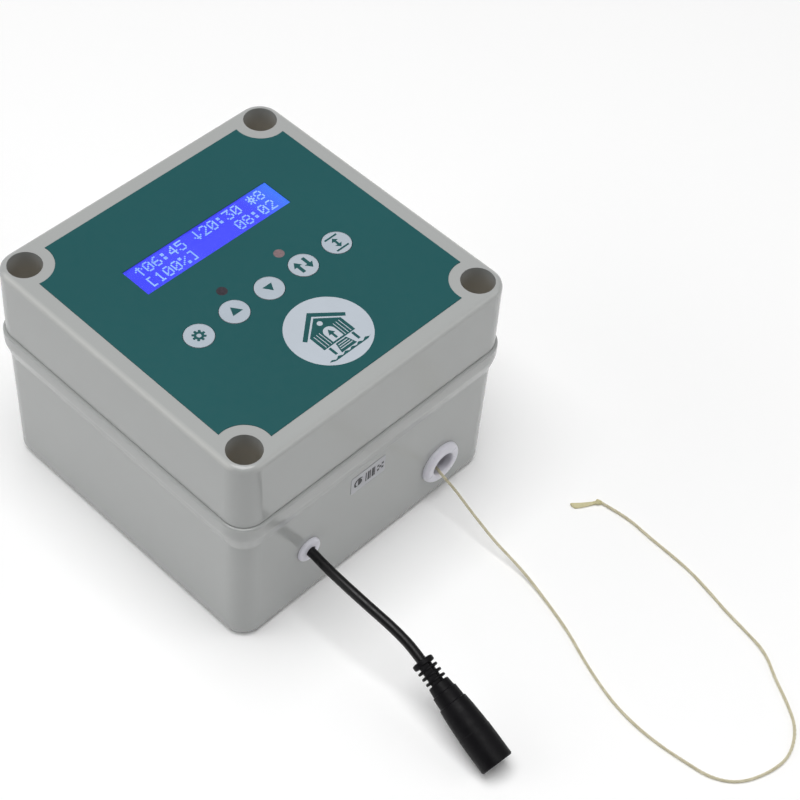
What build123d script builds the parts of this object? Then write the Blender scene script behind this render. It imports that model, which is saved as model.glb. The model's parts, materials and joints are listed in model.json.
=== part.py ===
from build123d import *
import math
import os

# Automatic coop door drive: a weatherproof two-part plastic box that holds the
# control board with its display and keys in the lid, and a geared winch in the
# base.  The winch pulls a thin string out of the lower side wall.
#
# Frame (millimetres): the box lies on its back.  +X runs along the display's
# text, +Y is up on the display, +Z points out of the display.  The origin is
# the centre of the back, level with the four fixing pads that it rests on.
# The lower side wall, with the string and the power lead, is the -Y wall.

os.makedirs("parts", exist_ok=True)

# ------------------------------------------------------------------ sizes
FIX_PITCH = 105.0          # corner screw and wall fixing spacing, both ways
H = FIX_PITCH / 2
PAD_H = 1.5                # fixing pads stand proud of the back
PAD_R = 5.5
FIX_HOLE_R = 2.4           # wall fixing hole
SCREW_BORE_R = 3.5         # lid screw bore in the corner column

BASE_HALF_BACK = 59.9      # half width of the base at the back
BASE_HALF_RIM = 60.35      # half width just under the rim (drafted walls)
BASE_CORNER_R = 7.6
RIM_HALF = 62.0            # the rim band is the widest part
RIM_CORNER_R = 9.4
RIM_Z0 = 51.3              # foot of the slope that leads out to the rim band
RIM_KNEE_Z = 57.6          # top of that slope
PART_Z = 63.0              # parting line
LID_HALF = 61.0
LID_CORNER_R = 8.4
LID_TOP = 92.0
LID_PLATE = 3.0
LID_EDGE_R = 2.2
WALL = 2.6
FLOOR_T = 3.0
FLOOR_Z = PAD_H + FLOOR_T  # inside of the back

WELL_R = 5.95              # screw wells in the lid corners
WELL_FLOOR_Z = 68.2

LABEL_HALF_X = 54.3        # printed front overlay
LABEL_HALF_Y = 54.2
LABEL_ARC_R = 9.85
LABEL_Z0 = 91.75
LABEL_Z1 = 92.15

LCD_CX, LCD_CY = 0.2, 22.0
LCD_W, LCD_H = 63.6, 13.0  # clear window
KEY_Y = -8.8
KEY_X0 = -31.6
KEY_PITCH = 15.4
KEY_R = 5.1
KEY_TOP = 92.35
KEY_HOLE_R = 5.3
LED_XY = (-13.06, 0.66)
SENSOR_XY = (12.35, 0.55)
DOT_R = 1.9

BOARD_Z0, BOARD_Z1 = 79.4, 81.0

CHASSIS_SCREWS = [(38.7, 36.2), (3.0, 36.2), (-31.5, 36.2), (26.7, -34.0), (-23.1, -34.0)]
CAP_R = 4.4

# winch and gear train, all axles parallel to X
AX_Z = 28.3
SPOOL_Y = -30.0
GEAR_C = 24.0              # centre distance of each gear pair
CLUSTER_Y = SPOOL_Y + GEAR_C
MOTOR_Y = CLUSTER_Y + GEAR_C
MODULE = 0.8
Z_SMALL, Z_BIG = 12, 48
SHAFT_R = 3.0
SPOOL_X0, SPOOL_X1 = 26.0, 42.0
SPOOL_FLANGE_R = 17.0
SPOOL_HUB_R = 9.0
WOUND_R = 12.0

STRING_X = 34.0            # where the string passes the wall
STRING_Z = 15.5
STRING_D = 1.2
BUSH_Z = 18.8              # centre of the string bushing
BUSH_FACE_Y = -60.15
LEAD_X, LEAD_Z = -30.5, 27.6
LEAD_D = 3.5
GROMMET_FACE_Y = -60.22


# ------------------------------------------------------------------ helpers
def save(name, shape):
    solids = shape.solids() if hasattr(shape, "solids") else [shape]
    solids = [s for s in solids if s.volume > 1e-6]
    out = solids[0] if len(solids) == 1 else Compound(children=list(solids))
    out.label = name
    export_step(out, "parts/" + name + ".step")


def cyl(r, z0, z1, x=0.0, y=0.0):
    return Pos(x, y, z0) * extrude(Circle(r), z1 - z0)


def xcyl(r, x0, x1, y, z):
    return Plane(origin=(x0, y, z), z_dir=(1, 0, 0)) * extrude(Circle(r), x1 - x0)


def ycyl(r, y0, y1, x, z):
    return Plane(origin=(x, y0, z), z_dir=(0, 1, 0)) * extrude(Circle(r), y1 - y0)


def block(x0, x1, y0, y1, z0, z1):
    return Pos((x0 + x1) / 2, (y0 + y1) / 2, z0) * extrude(Rectangle(x1 - x0, y1 - y0), z1 - z0)


def rsq(half, r, z0, z1, taper=0.0):
    return Pos(0, 0, z0) * extrude(RectangleRounded(2 * half, 2 * half, r), z1 - z0, taper=taper)


def corners(d=H):
    return [(sx * d, sy * d) for sx in (-1, 1) for sy in (-1, 1)]


def group(items):
    out = []
    for s in items:
        out += list(s.solids())
    return Compound(children=out)


def edges_at(solid, z, tol=0.02):
    return [e for e in solid.edges() if abs(e.bounding_box().min.Z - z) < tol and abs(e.bounding_box().max.Z - z) < tol]


# ------------------------------------------------------------------ base
taper = -math.degrees(math.atan((BASE_HALF_RIM - BASE_HALF_BACK) / (RIM_Z0 - PAD_H)))
base = rsq(BASE_HALF_BACK, BASE_CORNER_R, PAD_H, RIM_Z0 + 2.0, taper)
base = fillet(edges_at(base, PAD_H), 2.0)
# the rim band: a long gentle slope out of the wall, then straight up
SLOPE_IN = 2.0
slope_z = RIM_KNEE_Z - 7.6
slope = rsq(RIM_HALF - SLOPE_IN, RIM_CORNER_R - SLOPE_IN, slope_z, RIM_KNEE_Z, -math.degrees(math.atan(SLOPE_IN / 7.6)))
rim = slope + rsq(RIM_HALF, RIM_CORNER_R, RIM_KNEE_Z, PART_Z)
rim = fillet(edges_at(rim, RIM_KNEE_Z), 9.0)
rim = fillet(edges_at(rim, PART_Z), 0.9)
base = base + rim
base -= rsq(57.3, 5.2, FLOOR_Z, PART_Z + 1)
cols = [cyl(5.7, FLOOR_Z - 0.5, PART_Z - 0.2, x, y) for x, y in corners()]
for c in cols:
    base += c
for x, y in corners():
    base += cyl(PAD_R, 0, PAD_H + 0.5, x, y)
for x, y in corners():
    base -= cyl(SCREW_BORE_R, 6.0, PART_Z + 1, x, y)
    base -= cyl(FIX_HOLE_R, -1, 7.0, x, y)
# seal groove in the rim's top face
base -= rsq(60.5, 7.9, PART_Z - 1.5, PART_Z + 1) - rsq(58.9, 6.3, PART_Z - 2, PART_Z + 2)
# wall openings for the string bushing and the power lead
base -= ycyl(6.6, -64, -50, STRING_X, BUSH_Z)
base -= ycyl(4.2, -64, -50, LEAD_X, LEAD_Z)
# chassis screws come in from the back, heads sunk
for x, y in CHASSIS_SCREWS:
    base -= cyl(1.7, 0, 6, x, y)
    base -= cyl(3.2, PAD_H - 0.5, PAD_H + 1.2, x, y)
save("base_housing", base)

gasket = rsq(60.45, 7.85, PART_Z - 1.5, PART_Z) - rsq(58.95, 6.35, PART_Z - 2, PART_Z + 1)
save("lid_gasket", gasket)

# ------------------------------------------------------------------ lid
lid = rsq(LID_HALF, LID_CORNER_R, PART_Z, LID_TOP, 0.4)
lid = fillet(edges_at(lid, LID_TOP), LID_EDGE_R)
lid = fillet(edges_at(lid, PART_Z), 0.5)
shell = rsq(58.4, 5.8, PART_Z - 1, LID_TOP - LID_PLATE)
keep = None
for x, y in corners():
    c = cyl(8.2, PART_Z - 2, LID_TOP, x, y)
    keep = c if keep is None else keep + c
lid -= (shell - keep)
for x, y in corners():
    lid -= cyl(WELL_R, WELL_FLOOR_Z, LID_TOP + 1, x, y)
    lid -= cyl(3.8, PART_Z - 1, WELL_FLOOR_Z + 1, x, y)


def label_plate(z0, z1, grow=0.0):
    p = Pos(0, 0, z0) * extrude(Rectangle(2 * (LABEL_HALF_X + grow), 2 * (LABEL_HALF_Y + grow)), z1 - z0)
    for x, y in corners():
        p -= cyl(LABEL_ARC_R - grow, z0 - 1, z1 + 1, x, y)
    return p


lid -= label_plate(LABEL_Z0, LID_TOP + 1, 0.06)
lid -= block(LCD_CX - 36.2, LCD_CX + 36.2, LCD_CY - 12.8, LCD_CY + 12.8, 85, LID_TOP + 1)
KEYS = [(KEY_X0 + KEY_PITCH * i, KEY_Y) for i in range(5)]
for x, y in KEYS:
    lid -= cyl(KEY_HOLE_R + 0.1, 85, LID_TOP + 1, x, y)
for x, y in (LED_XY, SENSOR_XY):
    lid -= cyl(2.7, 85, LID_TOP + 1, x, y)
STANDOFFS = [(-43.8, 38.5), (43.8, 38.5), (-42.0, -24.0), (42.0, -24.0)]
for x, y in STANDOFFS:
    lid += cyl(3.2, BOARD_Z1, LID_TOP - LID_PLATE + 0.2, x, y)
for x, y in STANDOFFS:
    lid -= cyl(1.3, BOARD_Z1 - 1, LID_TOP - LID_PLATE + 0.2, x, y)
save("lid", lid)

# lid screws: wide slotted heads deep in the wells
screws = []
for x, y in corners():
    head = cyl(5.3, WELL_FLOOR_Z, WELL_FLOOR_Z + 4.0, x, y)
    head = fillet(edges_at(head, WELL_FLOOR_Z + 4.0), 0.7)
    head -= block(x - 5.5, x + 5.5, y - 0.7, y + 0.7, WELL_FLOOR_Z + 2.6, WELL_FLOOR_Z + 5)
    shank = cyl(3.45, 49.0, WELL_FLOOR_Z + 0.5, x, y)
    shank = chamfer(edges_at(shank, 49.0), 0.8)
    screws.append(head + shank)
save("lid_screws", group(screws))

# ------------------------------------------------------------------ front overlay, windows
overlay = label_plate(LABEL_Z0, LABEL_Z1)
overlay -= block(LCD_CX - LCD_W / 2, LCD_CX + LCD_W / 2, LCD_CY - LCD_H / 2, LCD_CY + LCD_H / 2, 90, 93)
for x, y in KEYS:
    overlay -= cyl(KEY_HOLE_R, 90, 93, x, y)
for x, y in (LED_XY, SENSOR_XY):
    overlay -= cyl(DOT_R, 90, 93, x, y)
save("front_overlay", overlay)
save("lcd_lens", block(LCD_CX - LCD_W / 2, LCD_CX + LCD_W / 2, LCD_CY - LCD_H / 2, LCD_CY + LCD_H / 2, LABEL_Z0, LABEL_Z1))
save("indicator_windows", group([cyl(DOT_R, LABEL_Z0, LABEL_Z1, *LED_XY), cyl(DOT_R, LABEL_Z0, LABEL_Z1, *SENSOR_XY)]))

# ------------------------------------------------------------------ display module
bez = block(LCD_CX - 35.7, LCD_CX + 35.7, LCD_CY - 12.3, LCD_CY + 12.3, 84.6, 91.7)
bez -= block(LCD_CX - 35.0, LCD_CX + 35.0, LCD_CY - 11.6, LCD_CY + 11.6, 84.0, 91.2)
bez -= block(LCD_CX - 32.4, LCD_CX + 32.4, LCD_CY - 7.2, LCD_CY + 7.2, 90.0, 92.5)
save("lcd_bezel", bez)
glass = block(LCD_CX - 34.9, LCD_CX + 34.9, LCD_CY - 11.5, LCD_CY + 11.5, 84.6, 91.2)
save("lcd_glass", glass)
lcdb = block(LCD_CX - 40, LCD_CX + 40, LCD_CY - 18, LCD_CY + 18, 83.0, 84.6)
for sx in (-1, 1):
    for sy in (-1, 1):
        lcdb -= cyl(1.25, 82, 86, LCD_CX + sx * 37.5, LCD_CY + sy * 15.5)
save("lcd_board", lcdb)
head = block(LCD_CX - 32.0, LCD_CX + 8.6, LCD_CY + 14.2, LCD_CY + 16.8, BOARD_Z1, 83.0)
save("lcd_header", head)

# ------------------------------------------------------------------ control board and its parts
board = block(-46.5, 46.5, -28.5, 43.0, BOARD_Z0, BOARD_Z1)
for x, y in STANDOFFS:
    board -= cyl(1.7, 78, 82, x, y)
save("control_board", board)
bs = []
for x, y in STANDOFFS:
    h = cyl(2.8, BOARD_Z0 - 2.0, BOARD_Z0, x, y)
    h = fillet(edges_at(h, BOARD_Z0 - 2.0), 0.8)
    h += cyl(1.25, BOARD_Z0 - 0.5, 87.0, x, y)
    h -= block(x - 1.9, x + 1.9, y - 0.35, y + 0.35, BOARD_Z0 - 3, BOARD_Z0 - 1.1)
    h -= block(x - 0.35, x + 0.35, y - 1.9, y + 1.9, BOARD_Z0 - 3, BOARD_Z0 - 1.1)
    bs.append(h)
save("board_screws", group(bs))
sw = []
for x, y in KEYS:
    s = block(x - 3, x + 3, y - 3, y + 3, BOARD_Z1, 84.5)
    s += cyl(1.75, 84.0, 85.2, x, y)
    sw.append(s)
save("key_switches", group(sw))

lx, ly = LED_XY
led = cyl(2.9, 83.0, 84.0, lx, ly) + cyl(2.5, 83.5, 89.1, lx, ly) + Pos(lx, ly, 89.1) * Sphere(2.5)
for sx in (-1, 1):
    led += block(lx + sx * 1.27 - 0.25, lx + sx * 1.27 + 0.25, ly - 0.25, ly + 0.25, BOARD_Z1, 83.5)
save("status_led", led)
sx0, sy0 = SENSOR_XY
sensor = cyl(2.5, 89.6, 91.6, sx0, sy0)
for s in (-1, 1):
    sensor += block(sx0 + s * 1.27 - 0.25, sx0 + s * 1.27 + 0.25, sy0 - 0.25, sy0 + 0.25, BOARD_Z1, 90.0)
save("light_sensor", sensor)

bz = cyl(6.0, 70.0, BOARD_Z0, -22, -17)
bz = fillet(edges_at(bz, 70.0), 0.8)
bz -= cyl(1.0, 69, 72, -22, -17)
save("buzzer", bz)
holder = block(13, 37, -23, -1, BOARD_Z0 - 4.6, BOARD_Z0)
holder -= cyl(10.15, BOARD_Z0 - 5, BOARD_Z0 - 1.0, 25, -12)
save("cell_holder", holder)
save("clock_cell", cyl(10.0, BOARD_Z0 - 4.3, BOARD_Z0 - 1.1, 25, -12))
mcu = block(-5.0, 5.0, 4.0, 14.0, BOARD_Z0 - 1.6, BOARD_Z0)
for k in range(8):
    t = -3.5 + k
    mcu += block(t - 0.2, t + 0.2, 2.6, 15.4, BOARD_Z0 - 0.35, BOARD_Z0)
    mcu += block(-6.4, 6.4, 9 + t - 0.2, 9 + t + 0.2, BOARD_Z0 - 0.35, BOARD_Z0)
save("microcontroller", mcu)
relays = []
for x in (-28.5, -11.5):
    r = block(x - 7.5, x + 7.5, 20, 39, BOARD_Z0 - 15.2, BOARD_Z0)
    r = chamfer(edges_at(r, BOARD_Z0 - 15.2), 0.6)
    relays.append(r)
save("motor_relays", group(relays))
cap = cyl(5.0, BOARD_Z0 - 11.5, BOARD_Z0, 30, 24)
cap = fillet(edges_at(cap, BOARD_Z0 - 11.5), 0.7)
save("board_capacitor", cap)
TERM = [(-37.0, -8.0), (-37.0, 7.0)]
tb = []
for x, y in TERM:
    t = block(x - 4, x + 4, y - 5, y + 5, BOARD_Z0 - 10, BOARD_Z0)
    for s in (-1, 1):
        t -= cyl(1.1, BOARD_Z0 - 11, BOARD_Z0 - 3, x, y + s * 2.5)
    tb.append(t)
save("terminal_blocks", group(tb))

# ------------------------------------------------------------------ keys
for i, (name, (x, y)) in enumerate(zip(("key_settings", "key_up", "key_down", "key_run", "key_teach"), KEYS)):
    k = cyl(KEY_R, 87.9, KEY_TOP, x, y)
    k = fillet(edges_at(k, KEY_TOP), 0.15)
    k -= cyl(KEY_R - 0.3, KEY_TOP - 0.05, KEY_TOP + 1, x, y)      # shallow dish for the printed symbol
    k += cyl(6.2, 87.9, 88.9, x, y)
    k += cyl(1.6, 85.8, 88.2, x, y)
    save(name, k)

# ------------------------------------------------------------------ chassis and gear train
PLATE_X0, PLATE_X1 = 18.0, 20.0      # front gear plate, part of the chassis
REAR_X0, REAR_X1 = -4.0, -2.0        # rear gear plate
OUT_X0, OUT_X1 = 46.0, 48.0          # outboard support of the spool shaft
chassis = block(-36.5, 50.0, -42.0, 42.0, FLOOR_Z, FLOOR_Z + 2.0)
chassis += block(PLATE_X0, PLATE_X1, -44.0, 31.0, FLOOR_Z, 55.0)
chassis += block(OUT_X0, OUT_X1, -42.0, -18.0, FLOOR_Z, 40.0)
chassis -= block(-20, 14, -26, 26, FLOOR_Z - 1, FLOOR_Z + 3) & rsq(40, 4, FLOOR_Z - 1, FLOOR_Z + 3)
for x, y in CHASSIS_SCREWS:
    chassis -= cyl(1.5, FLOOR_Z - 1, FLOOR_Z + 3, x, y)
BUSH_OR = 4.5
chassis -= xcyl(BUSH_OR, PLATE_X0 - 1, PLATE_X1 + 1, SPOOL_Y, AX_Z)
chassis -= xcyl(BUSH_OR, OUT_X0 - 1, OUT_X1 + 1, SPOOL_Y, AX_Z)
chassis -= xcyl(1.5, PLATE_X0 - 1, PLATE_X1 + 1, CLUSTER_Y, AX_Z)
PILLARS = [(-41.0, 49.0), (-12.0, 51.0), (26.5, 46.0), (26.5, 11.8)]
for y, z in PILLARS:
    chassis -= xcyl(1.6, PLATE_X0 - 1, PLATE_X1 + 1, y, z)
save("motor_chassis", chassis)

rear = block(REAR_X0, REAR_X1, -46.0, 34.0, 7.4, 55.0)
rear = fillet(rear.edges().filter_by(Axis.X), 3.0)
rear -= xcyl(BUSH_OR, REAR_X0 - 1, REAR_X1 + 1, SPOOL_Y, AX_Z)
rear -= xcyl(1.5, REAR_X0 - 1, REAR_X1 + 1, CLUSTER_Y, AX_Z)
rear -= xcyl(4.2, REAR_X0 - 1, REAR_X1 + 1, MOTOR_Y, AX_Z)
for y, z in PILLARS:
    rear -= xcyl(1.6, REAR_X0 - 1, REAR_X1 + 1, y, z)
MOTOR_SCREWS = [(MOTOR_Y, AX_Z + 8.0), (MOTOR_Y, AX_Z - 8.0)]
for y, z in MOTOR_SCREWS:
    rear -= xcyl(1.4, REAR_X0 - 1, REAR_X1 + 1, y, z)
save("gear_plate", rear)

pil = []
for y, z in PILLARS:
    p = xcyl(2.3, REAR_X1, PLATE_X0, y, z)
    p -= xcyl(1.3, REAR_X1 - 1, REAR_X1 + 6, y, z)
    p -= xcyl(1.3, PLATE_X0 - 6, PLATE_X0 + 1, y, z)
    pil.append(p)
save("plate_pillars", group(pil))
ps = []
for y, z in PILLARS:
    ps.append(xcyl(2.6, REAR_X0 - 1.8, REAR_X0, y, z) + xcyl(1.25, REAR_X0 - 0.5, REAR_X1 + 5, y, z))
    ps.append(xcyl(2.6, PLATE_X1, PLATE_X1 + 1.8, y, z) + xcyl(1.25, PLATE_X0 - 5, PLATE_X1 + 0.5, y, z))
for y, z in MOTOR_SCREWS:
    ps.append(xcyl(2.2, REAR_X1, REAR_X1 + 1.2, y, z) + xcyl(1.2, REAR_X0 - 4, REAR_X1 + 0.5, y, z))
save("gear_plate_screws", group(ps))

cs = []
for x, y in CHASSIS_SCREWS:
    h = cyl(2.9, PAD_H + 0.1, PAD_H + 1.2, x, y) + cyl(1.45, PAD_H + 0.5, FLOOR_Z + 3.2, x, y)
    h -= block(x - 1.8, x + 1.8, y - 0.3, y + 0.3, PAD_H, PAD_H + 0.6)
    cs.append(h)
save("chassis_screws", group(cs))
caps = []
for x, y in CHASSIS_SCREWS:
    c = cyl(CAP_R, PAD_H - 0.9, PAD_H, x, y)
    c = fillet(edges_at(c, PAD_H - 0.9), 0.45)
    caps.append(c)
save("screw_caps", group(caps))

# plain bushes: two for the spool shaft in the gear plates, one outboard
bush = []
for x0, x1, side in ((REAR_X0, REAR_X1, -1), (PLATE_X0, PLATE_X1, 1), (OUT_X0, OUT_X1, 1)):
    b = xcyl(BUSH_OR, x0 - (0.0 if side > 0 else 1.5), x1 + (1.5 if side > 0 else 0.0), SPOOL_Y, AX_Z)
    if side > 0:
        b += xcyl(5.6, x1, x1 + 1.2, SPOOL_Y, AX_Z)
    else:
        b += xcyl(5.6, x0 - 1.2, x0, SPOOL_Y, AX_Z)
    b -= xcyl(SHAFT_R + 0.05, x0 - 3, x1 + 3, SPOOL_Y, AX_Z)
    bush.append(b)
save("bearing_bushes", group(bush))
save("intermediate_axle", xcyl(1.5, REAR_X0 - 0.6, PLATE_X1 + 0.6, CLUSTER_Y, AX_Z))


def gear_outline(z, x_shift, thin, phase):
    """Involute spur gear outline as a closed list of (u, v) points.
    thin narrows each flank by that much at the pitch circle."""
    m = MODULE
    al = math.radians(20)
    rp = m * z / 2
    rb = rp * math.cos(al)
    ra = rp + m * (1 + x_shift) - 0.02
    rf = rp - m * (1.25 - x_shift)
    half = math.pi / (2 * z) + 2 * x_shift * math.tan(al) / z - thin / rp
    inv = lambda a: math.tan(a) - a

    def ang(r):
        if r <= rb:
            return half + inv(al)
        return half + inv(al) - inv(math.acos(rb / r))
    r0 = max(rf, rb)
    rs = [r0 + (ra - r0) * k / 4 for k in range(5)]
    pts = []
    for i in range(z):
        c = phase + 2 * math.pi * i / z
        left = [(rf, -ang(r0))] if rf < r0 - 1e-6 else []
        left += [(r, -ang(r)) for r in rs]
        for r, a in left:
            pts.append((r * math.cos(c + a), r * math.sin(c + a)))
        for r, a in reversed(left):
            pts.append((r * math.cos(c - a), r * math.sin(c - a)))
    return pts


def gear(z, x_shift, thin, phase, x0, x1, y, zc):
    # outline is drawn in the YZ plane: u along +Y, v along +Z
    pts = gear_outline(z, x_shift, thin, phase)
    pl = Plane(origin=(x0, y, zc), x_dir=(0, 1, 0), z_dir=(1, 0, 0))
    face = make_face(Polyline([(a, b) for a, b in pts], close=True))
    return pl * extrude(face, x1 - x0)


BACKLASH = 0.07            # per flank
XS = 0.3
# output gear has a tooth gap pointing at +Y, the cluster pinion a tooth at -Y
og = gear(Z_BIG, -XS, BACKLASH, math.pi / Z_BIG, 7.0, 12.0, SPOOL_Y, AX_Z)
og += xcyl(7.0, 5.6, 14.0, SPOOL_Y, AX_Z)
for k in range(6):
    a = k * math.pi / 3
    og -= xcyl(3.2, 4, 16, SPOOL_Y + 12.6 * math.cos(a), AX_Z + 12.6 * math.sin(a))
og -= xcyl(SHAFT_R, 0, 20, SPOOL_Y, AX_Z)
save("output_gear", og)

cl = gear(Z_SMALL, XS, BACKLASH, math.pi, 5.0, 13.5, CLUSTER_Y, AX_Z)
cl += gear(Z_BIG, -XS, BACKLASH, math.pi / Z_BIG, 0.4, 5.4, CLUSTER_Y, AX_Z)
cl += xcyl(3.0, -1.6, 17.6, CLUSTER_Y, AX_Z)
for k in range(6):
    a = k * math.pi / 3
    cl -= xcyl(2.8, -1, 6.5, CLUSTER_Y + 12.6 * math.cos(a), AX_Z + 12.6 * math.sin(a))
cl -= xcyl(1.55, -3, 20, CLUSTER_Y, AX_Z)
save("cluster_gear", cl)

mp = gear(Z_SMALL, XS, BACKLASH, math.pi, 0.0, 5.8, MOTOR_Y, AX_Z)
mp -= xcyl(1.15, -1, 7, MOTOR_Y, AX_Z)
save("motor_pinion", mp)

MOT_X0, MOT_X1 = -42.0, REAR_X0
can = xcyl(14.0, MOT_X0, MOT_X1, MOTOR_Y, AX_Z)
can = fillet([e for e in can.edges() if abs(e.bounding_box().min.X - MOT_X0) < 0.01 and abs(e.bounding_box().max.X - MOT_X0) < 0.01], 1.5)
can += xcyl(4.0, MOT_X1 - 0.5, MOT_X1 + 2.0, MOTOR_Y, AX_Z)
can -= xcyl(12.8, MOT_X0 + 2.0, MOT_X1 - 2.4, MOTOR_Y, AX_Z)
can -= xcyl(1.2, MOT_X0 + 1.0, MOT_X1 + 3, MOTOR_Y, AX_Z)
for y, z in MOTOR_SCREWS:
    can -= xcyl(1.25, MOT_X1 - 4.5, MOT_X1 + 1, y, z)
can += block(MOT_X0 - 4.0, MOT_X0 + 0.5, MOTOR_Y - 9.5, MOTOR_Y - 7.5, AX_Z - 2.0, AX_Z + 2.0)
can += block(MOT_X0 - 4.0, MOT_X0 + 0.5, MOTOR_Y + 7.5, MOTOR_Y + 9.5, AX_Z - 2.0, AX_Z + 2.0)
save("motor_can", can)
ring = xcyl(12.75, MOT_X0 + 8, MOT_X1 - 7, MOTOR_Y, AX_Z) - xcyl(10.6, MOT_X0 + 7, MOT_X1 - 6, MOTOR_Y, AX_Z)
ring -= block(MOT_X0, MOT_X1, MOTOR_Y - 4, MOTOR_Y + 4, 0, 60)
save("motor_magnets", ring)
arm = xcyl(9.9, MOT_X0 + 9, MOT_X1 - 8, MOTOR_Y, AX_Z)
for k in range(5):
    a = math.radians(72 * k)
    slot = Pos(MOT_X0 + 8, MOTOR_Y, AX_Z) * Rot(math.degrees(a), 0, 0) * Pos(0, 8.0, 0) * Box(60, 6.0, 1.6, align=(Align.MIN, Align.CENTER, Align.CENTER))
    arm -= slot
arm += xcyl(4.2, MOT_X0 + 4.5, MOT_X0 + 8.6, MOTOR_Y, AX_Z)
arm += xcyl(2.2, MOT_X0 + 8, MOT_X0 + 9.5, MOTOR_Y, AX_Z)
arm -= xcyl(1.15, MOT_X0, MOT_X1, MOTOR_Y, AX_Z)
save("armature", arm)
save("motor_shaft", xcyl(1.15, MOT_X0 + 1.3, 6.2, MOTOR_Y, AX_Z))

shaft = xcyl(SHAFT_R, REAR_X0 - 2.0, 50.0, SPOOL_Y, AX_Z)
# flat for the spool's set screw
shaft -= block(42.3, 45.7, SPOOL_Y - 4, SPOOL_Y + 4, AX_Z + 2.5, AX_Z + 4)
save("output_shaft", shaft)

spool = xcyl(SPOOL_FLANGE_R, SPOOL_X0, SPOOL_X0 + 1.6, SPOOL_Y, AX_Z)
spool = fillet(spool.edges(), 0.5)
s2 = xcyl(SPOOL_FLANGE_R, SPOOL_X1 - 1.6, SPOOL_X1, SPOOL_Y, AX_Z)
s2 = fillet(s2.edges(), 0.5)
spool += s2
spool += xcyl(SPOOL_HUB_R, SPOOL_X0 + 0.5, SPOOL_X1 - 0.5, SPOOL_Y, AX_Z)
spool += xcyl(6.2, SPOOL_X1 - 0.5, 45.6, SPOOL_Y, AX_Z)
spool -= xcyl(SHAFT_R, SPOOL_X0 - 1, 47, SPOOL_Y, AX_Z)
spool -= cyl(1.25, AX_Z, AX_Z + 10, 43.9, SPOOL_Y)
save("spool", spool)
save("spool_set_screw", cyl(1.25, AX_Z + 2.5, AX_Z + 6.0, 43.9, SPOOL_Y))
wound = xcyl(WOUND_R, SPOOL_X0 + 1.6, SPOOL_X1 - 1.6, SPOOL_Y, AX_Z) - xcyl(SPOOL_HUB_R, SPOOL_X0, SPOOL_X1, SPOOL_Y, AX_Z)
save("wound_string", wound)

# ------------------------------------------------------------------ wall fittings
# string bushing: a smooth white ring with a wide flared mouth
prof = Polyline([(4.7, -6.0), (6.5, -6.0), (6.5, 0.0), (8.5, 0.0), (8.5, 2.3), (4.7, 2.3)], close=True)
bface = make_face(prof)
vs = bface.vertices()
near = lambda a, b: [v for v in vs if abs(v.X - a) < 1e-3 and abs(v.Y - b) < 1e-3]
bface = fillet(near(8.5, 2.3), 2.0)
vs = bface.vertices()
bface = fillet(near(4.7, 2.3), 0.8)
ring = revolve(bface, Axis.Y, 360)
# local +Y of the profile is the outward way, -Y in the box frame
ring = Location((STRING_X, BUSH_FACE_Y, BUSH_Z)) * Rot(180, 0, 0) * ring
save("string_bushing", ring)
nut = ycyl(9.2, -57.3, -54.6, STRING_X, BUSH_Z) - ycyl(6.5, -58, -54, STRING_X, BUSH_Z)
save("bushing_nut", nut)

gp = Polyline([(1.75, -6.0), (4.1, -6.0), (4.1, 0.0), (4.8, 0.0), (4.8, 1.5), (2.0, 1.5), (1.75, -2.5)], close=True)
gface = make_face(gp)
vs = gface.vertices()
gface = fillet(near(4.8, 1.5), 1.1)
gr = revolve(gface, Axis.Y, 360)
gr = Location((LEAD_X, GROMMET_FACE_Y, LEAD_Z)) * Rot(180, 0, 0) * gr
save("cable_grommet", gr)
tie = ycyl(3.1, -53.2, -50.8, LEAD_X, LEAD_Z)
tie += block(LEAD_X - 2.2, LEAD_X + 2.2, -53.6, -50.4, LEAD_Z + 1.9, LEAD_Z + 5.8)
tie -= ycyl(1.75, -55, -48, LEAD_X, LEAD_Z)
save("cable_tie", tie)

draft = math.degrees(math.atan((BASE_HALF_RIM - BASE_HALF_BACK) / (RIM_Z0 - PAD_H)))
stick = Pos(-3.4, 0, 0) * extrude(RectangleRounded(16.0, 8.4, 0.8), 0.15)
half_at = BASE_HALF_BACK + (BASE_HALF_RIM - BASE_HALF_BACK) * (43.8 - PAD_H) / (RIM_Z0 - PAD_H)
stick = Location((0, -half_at - 0.005, 43.8)) * Rot(90 + draft, 0, 0) * stick
save("rating_sticker", stick)


# ------------------------------------------------------------------ cords
def tube(name, pts, d, min_r):
    pts = [Vector(*p) for p in pts]
    radii, report = [], []
    for a, b, c in zip(pts[:-2], pts[1:-1], pts[2:]):
        u, v = (b - a), (c - b)
        turn = u.get_angle(v)
        r = 0.45 * min(u.length, v.length) / math.tan(math.radians(turn) / 2)
        radii.append(r)
        report.append("%.0f@%.0f" % (r, turn))
    path = FilletPolyline(*pts, radius=radii)
    start = pts[0]
    prof = Plane(origin=start, z_dir=(pts[1] - pts[0]).normalized()) * Circle(d / 2)
    solid = sweep(prof, path=path)
    length = sum(e.length for e in path.edges())
    runs = [(q - p).length for p, q in zip(pts[:-1], pts[1:])]
    print("%s: length %.1f mm, runs %.1f-%.1f, smallest radius %.1f (allowed %.1f), volume ratio %.4f"
          % (name, length, min(runs), max(runs), min(radii), min_r, solid.volume / (math.pi * d * d / 4 * length)))
    print("   radius@turn: " + " ".join(report))
    save(name, solid)
    return length


# the taut stretch from the drum to the bushing
save("string_inner_run", ycyl(STRING_D / 2, -56.0, SPOOL_Y, STRING_X, STRING_Z))

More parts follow.
